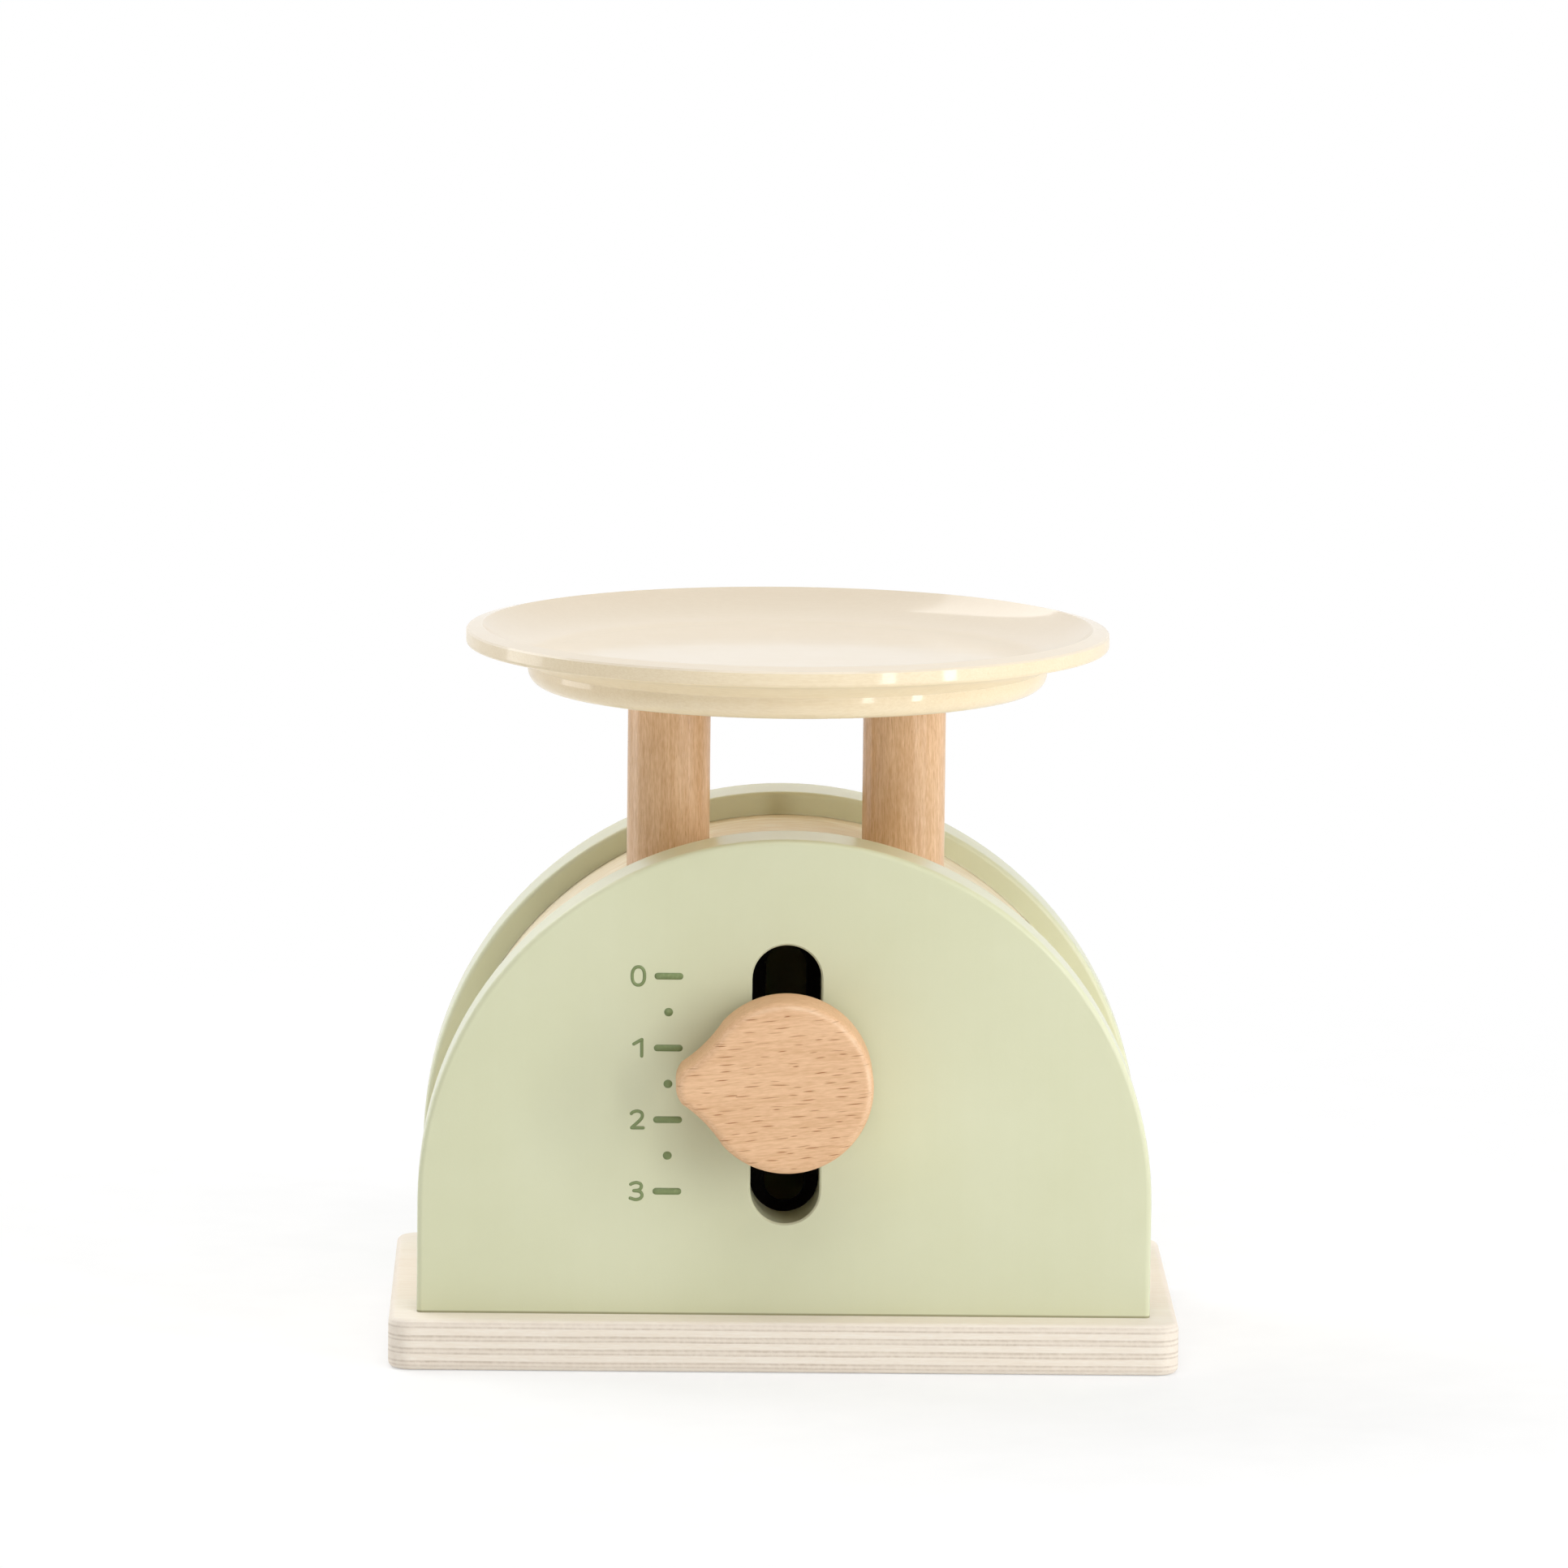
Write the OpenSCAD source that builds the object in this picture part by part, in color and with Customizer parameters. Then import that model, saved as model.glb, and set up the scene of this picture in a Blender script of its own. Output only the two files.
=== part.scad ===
// Toy weighing scale. A turned tray stands on two posts that slide down through an arched
// wooden case against two springs, and a beech pointer rides up and down in a slot at the front.
// Millimetres, +Z up, the front faces -Y, and the origin lies under the middle of the base.

/* [Base board] */
// Width of the base board
base_w = 170; // [166:1:200]
// Depth of the base board, front to back
base_d = 104; // [98:1:126]
// Thickness of the base board
base_t = 11; // [9.5:0.5:15]
// Radius of its upright corners
base_corner_r = 5; // [3:0.5:10]
// Roundover of its upper and lower edges
base_edge_r = 1.5; // [0.5:0.25:2.5]

/* [Case] */
// Width of the front and rear panels, and the diameter of their half-round tops
panel_w = 158; // [150:1:160]
// Height of the straight sides below the half round
panel_leg = 24.5; // [20:0.5:35]
// Thickness of the panels
panel_t = 15; // [12:0.5:17]
// Roundover of the panel edges
panel_edge_r = 1.2; // [0.5:0.1:2.5]
// Margin of the base board in front of the case and behind it
base_margin = 9; // [6:0.5:12]
// Drop from the panel edges to the arch
arch_inset = 5; // [3:0.5:8]
// Thickness of the arch strip
arch_t = 5; // [3:0.5:6]
// Depth of the panel grooves that hold the arch
groove_depth = 3; // [2:0.25:5]
// Glue gap round a glued joint
glue_gap = 0.05; // [0.02:0.01:0.15]

/* [Scale] */
// Drop from the top of the panels to the zero mark
zero_drop = 29.7; // [27:0.1:32]
// Distance from one whole mark to the next
unit_step = 15.62; // [14:0.02:16]
// Drop of the pointer below the zero mark, as it stands in balance
rest_drop = 21.2; // [12:0.1:34]
// Width of the pointer slot
slot_w = 14.9; // [13:0.1:18]
// Edge break of the slot mouth
slot_break = 0.4; // [0.2:0.1:1]
// Gap between the spindle and the slot sides
slot_gap = 0.85; // [0.4:0.05:1.2]
// Gap left between the spindle and a slot end at the end of the travel
stop_gap = 0.3; // [0.2:0.05:0.6]
// Thickness of the black felt behind the slot
felt_t = 1.5; // [1:0.25:3]
// Overlap of the felt round the slot
felt_margin = 8; // [5:0.5:12]
// Gap between the felt slit and the spindle neck
felt_gap = 0.4; // [0.3:0.05:0.8]

/* [Pointer] */
// Diameter of the pointer disc
knob_d = 37; // [32:0.5:42]
// Thickness of the pointer disc
knob_t = 16; // [13:0.5:20]
// Roundover of the pointer edges
knob_edge_r = 2; // [1:0.25:3]
// Reach of the nib tip from the middle of the disc
nib_reach = 23.7; // [22.5:0.1:26]
// Radius of the nib tip
nib_r = 5.5; // [4:0.25:6]
// Radius of the shallow hollow between the nib and the disc
nib_hollow_r = 30; // [20:1:45]
// Gap between the pointer and the front panel
knob_gap = 3; // [1.5:0.25:5]
// Depth of the spindle socket in the pointer
knob_socket = 8; // [6:0.5:9]
// Diameter of the spindle neck behind the slot
neck_d = 8; // [7:0.25:9]
// Diameter of the long screw through the spindle
screw_d = 4; // [3.5:0.25:4.5]
// Bite of the long screw past the spindle, into the pointer
screw_bite = 4; // [3:0.25:5]

/* [Tray] */
// Diameter of the tray over its rim
tray_d = 139.8; // [132:0.5:150]
// Overall height of the tray
tray_h = 13; // [12:0.1:15]
// Height of the rim band
rim_h = 4.2; // [3.6:0.1:5]
// Roundover of the lower edge of the rim band
rim_edge_r = 0.8; // [0.4:0.1:1.5]
// Width of the lip between the rim and the hollow
lip_w = 3.5; // [3:0.1:5]
// Fall of the lip from the hollow to the rim
lip_fall = 0.75; // [0.4:0.05:1.2]
// Edge break between the lip and the rim band
lip_break = 0.35; // [0.2:0.05:0.6]
// Depth of the hollow
bowl_depth = 6.4; // [5:0.1:6.8]
// Radius of the flat floor
floor_r = 52; // [44:0.5:54]
// Diameter of the foot
foot_d = 113; // [106:0.5:118]
// Roundover of the foot
foot_edge_r = 3.6; // [1:0.1:4]
// Height at which the foot meets the underside of the rim
foot_h = 4.8; // [4.2:0.1:6]
// Hollow of the underside between the foot and the rim
cove_sag = 1; // [0.4:0.1:1.4]
// Gap between the tray and the panels under full load
tray_gap = 2; // [1:0.1:6]

/* [Posts and carriage] */
// Diameter of the posts
post_d = 18; // [16:0.5:20]
// Distance between the post axes
post_spacing = 51.2; // [46:0.2:54]
// Gap between a post and its hole in the arch
post_gap = 1.2; // [0.5:0.1:2]
// Depth of the post sockets in the tray
post_socket = 4.5; // [3:0.25:5]
// Depth of the posts in the crossbar
post_seat = 9; // [7:0.25:12]
// Height of the crossbar
bar_h = 18; // [15:0.5:20]
// Height of the crossbar above the spindle axis
bar_rise = 5; // [4.5:0.25:6]
// Wall of the crossbar round a post
bar_wall = 4; // [3:0.25:4.5]
// Depth of the spindle neck in the crossbar
neck_socket = 5; // [3:0.25:8]

/* [Springs] */
// Diameter of the guide pins
pin_d = 8; // [6:0.5:9]
// Depth of the guide pins in the base board
pin_seat = 8; // [5:0.25:8.5]
// Gap between a guide pin and its bore in a post
pin_gap = 0.35; // [0.3:0.05:0.6]
// Length of pin left in the post at the top of the travel
pin_hold = 8; // [5:0.5:12]
// Outside diameter of the washers under the springs
washer_d = 17; // [15:0.5:20]
// Thickness of the washers
washer_t = 1; // [0.8:0.1:1.6]
// Diameter of the spring wire
wire_d = 0.5; // [0.4:0.05:0.8]
// Diameter of a spring at the middle of its wire
coil_d = 12; // [11:0.25:14]
// Turns of a spring
coil_turns = 15; // [10:0.5:17]
// Gap between a spring and its pocket in the crossbar
pocket_gap = 0.75; // [0.5:0.05:1]

/* [Fasteners] */
// Distance between the base screws, left to right
base_screw_spacing = 100; // [80:1:116]
// Length of the base screws
base_screw_l = 32; // [24:1:45]
// Diameter of the small screws at the ends of the crossbar
bar_screw_d = 3; // [2.5:0.1:3.5]
// Bite of those screws in the posts
bar_screw_bite = 3; // [2:0.1:3.2]
// Gap between a screw and its hole
screw_gap = 0.1; // [0.05:0.01:0.2]

/* [Hidden] */
$fn = 96;
whole_marks = 3;
eps = 0.01;
hollow_bite = 0.15;

beech = [0.85, 0.68, 0.50];
birch = [0.93, 0.84, 0.70];
sage = [0.80, 0.81, 0.66];
cream = [0.93, 0.86, 0.76];
steel = [0.62, 0.63, 0.65];
black = [0.06, 0.05, 0.05];

panel_r = panel_w / 2;
arch_z = base_t + panel_leg;
panel_top = arch_z + panel_r;
front_y = base_d / 2 - base_margin;
inner_y = front_y - panel_t;
panel_y = (front_y + inner_y) / 2;
arch_r = panel_r - arch_inset;

zero_z = panel_top - zero_drop;
full_z = zero_z - whole_marks * unit_step;
knob_z = zero_z - rest_drop;
travel_up = rest_drop;
travel_down = knob_z - full_z;

spindle_d = slot_w - 2 * slot_gap;
slot_top = zero_z + spindle_d / 2 + stop_gap;
slot_bottom = full_z - spindle_d / 2 - stop_gap;
knob_back = front_y + knob_gap;
knob_front = knob_back + knob_t;
spindle_tip = knob_back + knob_socket;
shoulder = inner_y + felt_gap;

foot_z = panel_top + tray_gap + travel_down;
tray_floor_z = foot_z + tray_h - bowl_depth;
rim_z = tray_h - rim_h;
lip_r = tray_d / 2 - lip_w;

post_x = post_spacing / 2;
bar_r = post_d / 2 + bar_wall;
bar_z = knob_z + bar_rise - bar_h;
post_bottom = bar_z + bar_h - post_seat;
post_top = foot_z + post_socket - glue_gap;

pin_chamfer = 1;
pin_top = post_bottom + travel_up + pin_hold;
pin_bore = pin_top - (post_bottom - travel_down) + pin_gap;
spring_z = base_t + washer_t;
spring_top = post_bottom - stop_gap;
pocket_d = coil_d + wire_d + 2 * pocket_gap;

screw_head_d = 2 * screw_d;
screw_head_h = screw_d / 2;
base_screw_x = base_screw_spacing / 2;
base_screw_sink = 0.5;
knob_washer_d = 3 * screw_d;
knob_washer_t = 1;
bar_screw_head = 2 * bar_screw_d;
bar_screw_l = bar_wall + bar_screw_bite;

// Shared shapes

// Rectangle with round corners, about its middle
module round_rect(w, h, r) {
    square([w - 2 * r, h], center = true);
    square([w, h - 2 * r], center = true);
    for (x = [-1, 1], y = [-1, 1])
        translate([x * (w / 2 - r), y * (h / 2 - r)])
            circle(r);
}

// Half section of a disc of thickness t whose rim is rounded above and below
module disc_section(r, t, edge) {
    square([r - edge, t]);
    translate([0, edge])
        square([r, t - 2 * edge]);
    for (y = [edge, t - edge])
        translate([r - edge, y])
            circle(edge);
}

// Puts a shape drawn in XY on the spindle axis, with its Z towards the front
module on_spindle() {
    translate([0, 0, knob_z])
        rotate([90, 0, 0])
            children();
}

// Countersunk screw with its head at z = 0 and its tip at z = length
module countersunk(d, length, head_d) {
    head_h = (head_d - d) / 2;
    cylinder(d1 = head_d, d2 = d, h = head_h);
    cylinder(d = d, h = length - d);
    translate([0, 0, length - d])
        cylinder(d1 = d, d2 = d / 4, h = d);
}

// Hole that takes such a screw, with its head sunk below the face
module countersunk_hole(d, length, head_d, sink) {
    hole_d = d + 2 * screw_gap;
    head_h = (head_d - d) / 2;
    translate([0, 0, -eps])
        cylinder(d = head_d + 2 * screw_gap, h = sink + eps);
    translate([0, 0, sink])
        cylinder(d1 = head_d + 2 * screw_gap, d2 = hole_d, h = head_h);
    cylinder(d = hole_d, h = sink + length + screw_gap);
}

// Places of the screws that hold the panels from below
module at_base_screws(y_signs) {
    for (x = [-1, 1], y = y_signs)
        translate([x * base_screw_x, y * panel_y, 0])
            children();
}

// Places of the screws at the ends of the crossbar, pointing inwards
module at_bar_screws() {
    for (side = [-1, 1])
        translate([side * (post_x + bar_r), 0, post_bottom + post_seat / 2])
            rotate([0, -side * 90, 0])
                children();
}

// Case

module base_plate() {
    slab_w = base_w - 2 * base_corner_r;
    slab_d = base_d - 2 * base_corner_r;
    color(birch)
        difference() {
            union() {
                translate([0, 0, base_t / 2]) {
                    rotate([90, 0, 90])
                        linear_extrude(slab_w, center = true)
                            round_rect(base_d, base_t, base_edge_r);
                    rotate([90, 0, 0])
                        linear_extrude(slab_d, center = true)
                            round_rect(base_w, base_t, base_edge_r);
                }
                for (x = [-1, 1], y = [-1, 1])
                    translate([x * slab_w / 2, y * slab_d / 2, 0])
                        rotate_extrude()
                            disc_section(base_corner_r, base_t, base_edge_r);
            }
            at_base_screws([-1, 1])
                countersunk_hole(screw_d, base_screw_l, screw_head_d, base_screw_sink);
            for (side = [-1, 1])
                translate([side * post_x, 0, base_t - pin_seat])
                    cylinder(d = pin_d + 2 * glue_gap, h = pin_seat + eps);
        }
}

// Arch strip of a given half width, grown by gap all round for its grooves
module arch_strip(half_w, gap) {
    outer = arch_r + gap;
    inner = arch_r - arch_t - gap;
    translate([0, 0, arch_z])
        rotate([90, 0, 0])
            rotate_extrude(angle = 180)
                translate([inner, -half_w])
                    square([outer - inner, 2 * half_w]);
    for (side = [-1, 1])
        translate([side * (outer + inner) / 2, 0, base_t + panel_leg / 2])
            cube([outer - inner, 2 * half_w, panel_leg], center = true);
}

// One half-round panel, standing on the base with its middle at y
module panel_blank(y) {
    translate([0, y, base_t])
        linear_extrude(panel_leg)
            round_rect(panel_w, panel_t, panel_edge_r);
    translate([0, y + panel_t / 2, arch_z])
        rotate([90, 0, 0])
            rotate_extrude(angle = 180)
                disc_section(panel_r, panel_t, panel_edge_r);
}

// A panel with the groove for the arch and the pilot holes for its screws
module grooved_panel(side) {
    difference() {
        panel_blank(side * panel_y);
        arch_strip(inner_y + groove_depth, glue_gap);
        at_base_screws([side])
            countersunk_hole(screw_d, base_screw_l, screw_head_d, base_screw_sink);
    }
}

// Upright slot for the pointer, with its mouth broken all round
module slot_cut() {
    low = slot_bottom + slot_w / 2;
    high = slot_top - slot_w / 2;
    mouth_r = slot_w / 2 + slot_break;
    for (z = [low, high])
        translate([0, 0, z])
            rotate([90, 0, 0]) {
                translate([0, 0, inner_y - eps])
                    cylinder(d = slot_w, h = panel_t + 2 * eps);
                translate([0, 0, front_y - slot_break])
                    cylinder(r1 = slot_w / 2, r2 = mouth_r + eps, h = slot_break + eps);
            }
    translate([0, 0, low])
        linear_extrude(high - low)
            polygon([
                [-slot_w / 2, -inner_y + eps],
                [slot_w / 2, -inner_y + eps],
                [slot_w / 2, -front_y + slot_break],
                [mouth_r + eps, -front_y - eps],
                [-mouth_r - eps, -front_y - eps],
                [-slot_w / 2, -front_y + slot_break]
            ]);
}

module front_panel() {
    color(sage)
        difference() {
            grooved_panel(-1);
            slot_cut();
        }
}

module rear_panel() {
    color(sage)
        grooved_panel(1);
}

module arch_cover() {
    color(birch)
        difference() {
            arch_strip(inner_y + groove_depth - glue_gap, 0);
            for (side = [-1, 1])
                translate([side * post_x, 0, arch_z])
                    cylinder(d = post_d + 2 * post_gap, h = panel_r);
        }
}

// Upright slit with round ends, w wide, between two heights
module slit(w, low, high) {
    for (z = [low, high])
        translate([0, z])
            circle(d = w);
    translate([-w / 2, low])
        square([w, high - low]);
}

// Black felt on the back of the front panel, which closes the slot round the spindle neck
module slot_felt() {
    color(black)
        translate([0, -inner_y + felt_t, 0])
            rotate([90, 0, 0])
                linear_extrude(felt_t)
                    difference() {
                        slit(slot_w + 2 * felt_margin, slot_bottom + slot_w / 2, slot_top - slot_w / 2);
                        slit(neck_d + 2 * felt_gap, full_z - stop_gap, zero_z + stop_gap);
                    }
}

module base_screws() {
    color(steel)
        at_base_screws([-1, 1])
            translate([0, 0, base_screw_sink])
                countersunk(screw_d, base_screw_l, screw_head_d);
}

// Springs and their guides

module guide_pin(side) {
    straight_l = pin_top - pin_chamfer - (base_t - pin_seat);
    color(beech)
        translate([side * post_x, 0, base_t - pin_seat]) {
            cylinder(d = pin_d, h = straight_l);
            translate([0, 0, straight_l])
                cylinder(d1 = pin_d, d2 = pin_d - 2 * pin_chamfer, h = pin_chamfer);
        }
}

module left_guide_pin() guide_pin(-1);
module right_guide_pin() guide_pin(1);

module spring_washer(side) {
    color(steel)
        translate([side * post_x, 0, base_t])
            difference() {
                cylinder(d = washer_d, h = washer_t);
                translate([0, 0, -eps])
                    cylinder(d = pin_d + 2 * pin_gap, h = washer_t + 2 * eps);
            }
}

module left_spring_washer() spring_washer(-1);
module right_spring_washer() spring_washer(1);

// A spring is one unbroken tube of six sides along a helix
coil_rings = 10;
wire_sides = 6;
coil_steps = ceil(coil_turns * coil_rings);
coil_rise = spring_top - spring_z - wire_d;
function coil_angle(i) = 360 * coil_turns * i / coil_steps;
function coil_out(i) = [cos(coil_angle(i)), sin(coil_angle(i)), 0];
function coil_point(i) = coil_out(i) * coil_d / 2 + [0, 0, wire_d / 2 + coil_rise * i / coil_steps];
function wire_point(i, k) = coil_point(i)
    + wire_d / 2 * (cos(360 * k / wire_sides) * coil_out(i) + [0, 0, sin(360 * k / wire_sides)]);
function wire_index(i, k) = i * wire_sides + k % wire_sides;

coil_gap = min([for (i = [0 : coil_steps - coil_rings]) norm(coil_point(i + coil_rings) - coil_point(i))]) - wire_d;
echo(least_gap_between_spring_turns = coil_gap);

module spring(side) {
    points = [for (i = [0 : coil_steps]) for (k = [0 : wire_sides - 1]) wire_point(i, k)];
    wall = [
        for (i = [0 : coil_steps - 1]) for (k = [0 : wire_sides - 1]) each [
            [wire_index(i, k), wire_index(i + 1, k), wire_index(i + 1, k + 1)],
            [wire_index(i, k), wire_index(i + 1, k + 1), wire_index(i, k + 1)]
        ]
    ];
    ends = [
        for (k = [1 : wire_sides - 2]) each [
            [wire_index(0, 0), wire_index(0, k), wire_index(0, k + 1)],
            [wire_index(coil_steps, 0), wire_index(coil_steps, k + 1), wire_index(coil_steps, k)]
        ]
    ];
    color(steel)
        translate([side * post_x, 0, spring_z])
            polyhedron(points, concat(wall, ends));
}

module left_spring() spring(-1);
module right_spring() spring(1);

// Tray and carriage

// Half section of the tray, with its foot at y = 0
module tray_section() {
    foot_r = foot_d / 2;
    rim_r = tray_d / 2;
    cove_a = [foot_r, foot_h];
    cove_b = [rim_r - rim_edge_r, rim_z];
    chord = cove_b - cove_a;
    half = norm(chord) / 2;
    cove_r = (half * half + cove_sag * cove_sag) / (2 * cove_sag);
    cove_mid = (cove_a + cove_b) / 2 + [chord[1], -chord[0]] / (2 * half) * (cove_r - cove_sag);
    bowl_run = lip_r - floor_r;
    bowl_r = (bowl_run * bowl_run + bowl_depth * bowl_depth) / (2 * bowl_depth);
    floor_h = tray_h - bowl_depth;
    rim_top = tray_h - lip_fall;
    difference() {
        union() {
            square([foot_r - foot_edge_r, rim_z + eps]);
            translate([0, foot_edge_r])
                square([foot_r, rim_z + eps - foot_edge_r]);
            translate([foot_r - foot_edge_r, foot_edge_r])
                circle(foot_edge_r);
            difference() {
                polygon([cove_a, cove_b, cove_b + [0, eps], [foot_r - eps, rim_z + eps], [foot_r - eps, foot_h]]);
                translate(cove_mid)
                    circle(cove_r);
            }
            polygon([
                [0, rim_z],
                [rim_r - rim_edge_r, rim_z],
                [rim_r - rim_edge_r, rim_z + rim_edge_r],
                [rim_r, rim_z + rim_edge_r],
                [rim_r, rim_top - lip_break],
                [rim_r - lip_break, rim_top + lip_break * lip_fall / lip_w],
                [lip_r, tray_h],
                [0, tray_h]
            ]);
            translate([rim_r - rim_edge_r, rim_z + rim_edge_r])
                circle(rim_edge_r);
        }
        translate([0, floor_h])
            square([floor_r, tray_h]);
        translate([floor_r, floor_h + bowl_r])
            circle(bowl_r);
    }
}

module tray() {
    color(cream)
        difference() {
            translate([0, 0, foot_z])
                rotate_extrude()
                    tray_section();
            for (side = [-1, 1])
                translate([side * post_x, 0, foot_z - eps])
                    cylinder(d = post_d + 2 * glue_gap, h = post_socket + eps);
        }
}

// A post is bored from below for its guide pin
module post(side) {
    color(beech)
        difference() {
            translate([side * post_x, 0, post_bottom])
                difference() {
                    cylinder(d = post_d, h = post_top - post_bottom);
                    translate([0, 0, -eps])
                        cylinder(d = pin_d + 2 * pin_gap, h = pin_bore + eps);
                }
            at_bar_screws()
                cylinder(d = bar_screw_d + 2 * screw_gap, h = bar_screw_l + 2 * screw_gap);
        }
}

module left_post() post(-1);
module right_post() post(1);

// Bar with round ends, counterbored from above for the posts and bored through below them for the springs
module crossbar() {
    color(beech)
        difference() {
            translate([0, 0, bar_z])
                linear_extrude(bar_h) {
                    for (side = [-1, 1])
                        translate([side * post_x, 0])
                            circle(bar_r);
                    square([post_spacing, 2 * bar_r], center = true);
                }
            for (side = [-1, 1])
                translate([side * post_x, 0, 0]) {
                    translate([0, 0, bar_z - eps])
                        cylinder(d = pocket_d, h = bar_h);
                    translate([0, 0, post_bottom])
                        cylinder(d = post_d + 2 * glue_gap, h = post_seat + eps);
                }
            on_spindle() {
                translate([0, 0, bar_r - neck_socket])
                    cylinder(d = neck_d + 2 * glue_gap, h = neck_socket + eps);
                translate([0, 0, -bar_r - eps])
                    cylinder(d = screw_d + 2 * screw_gap, h = 2 * bar_r);
            }
            at_bar_screws()
                countersunk_hole(bar_screw_d, bar_screw_l, bar_screw_head, 0);
        }
}

module crossbar_screws() {
    color(steel)
        at_bar_screws()
            countersunk(bar_screw_d, bar_screw_l, bar_screw_head);
}

// Pointer

// Turned spindle: a stout end that rides in the slot, and a neck that passes the felt
module knob_spindle() {
    neck_back = bar_r - neck_socket + glue_gap;
    color(beech)
        on_spindle()
            difference() {
                union() {
                    translate([0, 0, neck_back])
                        cylinder(d = neck_d, h = shoulder - neck_back + eps);
                    translate([0, 0, shoulder])
                        cylinder(d = spindle_d, h = spindle_tip - shoulder - glue_gap);
                }
                translate([0, 0, neck_back - eps])
                    cylinder(d = screw_d + 2 * screw_gap, h = spindle_tip);
            }
}

// Cuts the hollow beside the nib, with the roundover of the disc carried along its edges
module nib_hollow() {
    cut_r = nib_hollow_r + hollow_bite;
    rotate_extrude() {
        translate([0, -eps])
            square([cut_r, knob_t + 2 * eps]);
        for (flip = [0, 1])
            translate([0, flip * knob_t])
                mirror([0, flip])
                    difference() {
                        translate([0, -eps])
                            square([cut_r + knob_edge_r, knob_edge_r + eps]);
                        translate([cut_r + knob_edge_r, knob_edge_r])
                            circle(knob_edge_r);
                    }
    }
}

// Disc with a blunt nib to the left, blended by two hollows that touch both rounds
module pointer_blank() {
    disc_r = knob_d / 2;
    nib_x = nib_reach - nib_r;
    to_disc = disc_r + nib_hollow_r;
    to_nib = nib_r + nib_hollow_r;
    hollow_x = (to_disc * to_disc - to_nib * to_nib + nib_x * nib_x) / (2 * nib_x);
    hollow_y = sqrt(to_disc * to_disc - hollow_x * hollow_x);
    difference() {
        union() {
            rotate_extrude()
                disc_section(disc_r, knob_t, knob_edge_r);
            translate([-nib_x, 0, 0])
                rotate_extrude()
                    disc_section(nib_r, knob_t, knob_edge_r);
            linear_extrude(knob_t)
                polygon([[0, 0], [-hollow_x, hollow_y], [-nib_x, 0], [-hollow_x, -hollow_y]]);
        }
        for (side = [-1, 1])
            translate([-hollow_x, side * hollow_y, 0])
                nib_hollow();
    }
}

module pointer_knob() {
    color(beech)
        on_spindle()
            difference() {
                translate([0, 0, knob_back])
                    pointer_blank();
                translate([0, 0, knob_back - eps])
                    cylinder(d = spindle_d + 2 * glue_gap, h = knob_socket + eps);
                translate([0, 0, knob_back])
                    cylinder(d = screw_d + 2 * screw_gap, h = knob_socket + screw_bite + screw_gap);
            }
}

// Long screw from the back of the crossbar through the spindle into the pointer
module knob_screw() {
    head_back = -bar_r - knob_washer_t;
    color(steel)
        on_spindle() {
            translate([0, 0, head_back - screw_head_h])
                cylinder(d = screw_head_d, h = screw_head_h);
            translate([0, 0, head_back - eps])
                cylinder(d = screw_d, h = spindle_tip + screw_bite - head_back);
        }
}

module knob_washer() {
    color(steel)
        on_spindle()
            translate([0, 0, -bar_r - knob_washer_t])
                difference() {
                    cylinder(d = knob_washer_d, h = knob_washer_t);
                    translate([0, 0, -eps])
                        cylinder(d = screw_d + 2 * screw_gap, h = knob_washer_t + 2 * eps);
                }
}

base_plate();
front_panel();
rear_panel();
arch_cover();
slot_felt();
base_screws();
left_guide_pin();
right_guide_pin();
left_spring_washer();
right_spring_washer();
left_spring();
right_spring();
tray();
left_post();
right_post();
crossbar();
crossbar_screws();
knob_spindle();
pointer_knob();
knob_screw();
knob_washer();
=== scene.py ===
"""Looks of a toy weighing scale, round its solid model.

Paint, plywood, beech, lacquer, felt, steel and the printed scale, in a plain studio.
"""

import math

import bpy
from mathutils import Matrix, Vector, noise


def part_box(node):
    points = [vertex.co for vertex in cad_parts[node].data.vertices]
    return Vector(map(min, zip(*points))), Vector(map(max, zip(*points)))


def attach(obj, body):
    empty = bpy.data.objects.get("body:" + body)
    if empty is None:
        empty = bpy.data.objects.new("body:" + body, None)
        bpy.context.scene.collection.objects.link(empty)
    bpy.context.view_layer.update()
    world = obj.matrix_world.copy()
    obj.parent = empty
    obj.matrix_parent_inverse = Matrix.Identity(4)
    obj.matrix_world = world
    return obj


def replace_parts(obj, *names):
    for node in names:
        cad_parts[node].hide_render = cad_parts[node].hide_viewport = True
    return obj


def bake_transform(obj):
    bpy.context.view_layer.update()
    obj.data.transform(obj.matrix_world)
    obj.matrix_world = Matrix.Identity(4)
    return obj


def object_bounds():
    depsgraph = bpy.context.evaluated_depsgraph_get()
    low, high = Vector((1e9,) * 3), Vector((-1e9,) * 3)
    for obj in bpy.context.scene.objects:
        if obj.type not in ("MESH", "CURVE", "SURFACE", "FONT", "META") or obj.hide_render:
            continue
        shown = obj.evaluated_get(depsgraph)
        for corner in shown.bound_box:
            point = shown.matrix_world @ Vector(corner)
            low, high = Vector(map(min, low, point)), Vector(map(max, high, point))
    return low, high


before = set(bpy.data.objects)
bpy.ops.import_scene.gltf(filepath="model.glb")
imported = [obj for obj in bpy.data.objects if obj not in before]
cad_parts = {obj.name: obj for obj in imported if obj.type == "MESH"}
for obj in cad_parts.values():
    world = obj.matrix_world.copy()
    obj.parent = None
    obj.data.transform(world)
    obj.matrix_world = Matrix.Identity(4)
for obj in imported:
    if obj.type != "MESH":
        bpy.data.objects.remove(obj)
cad_low, cad_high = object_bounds()

MM = 0.001
CASE = "case"
CARRIAGE = "carriage"

# Camera, as the photograph was taken: place in metres, turns in degrees
CAMERA_AT = (-0.0370, -2.4382, 0.4766)
CAMERA_PITCH = 8.311
CAMERA_YAW = -0.858
CAMERA_ROLL = 0.629
CAMERA_LENS = 259.81
CAMERA_SENSOR = 36.0
CAMERA_REACH = 100.0

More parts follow.
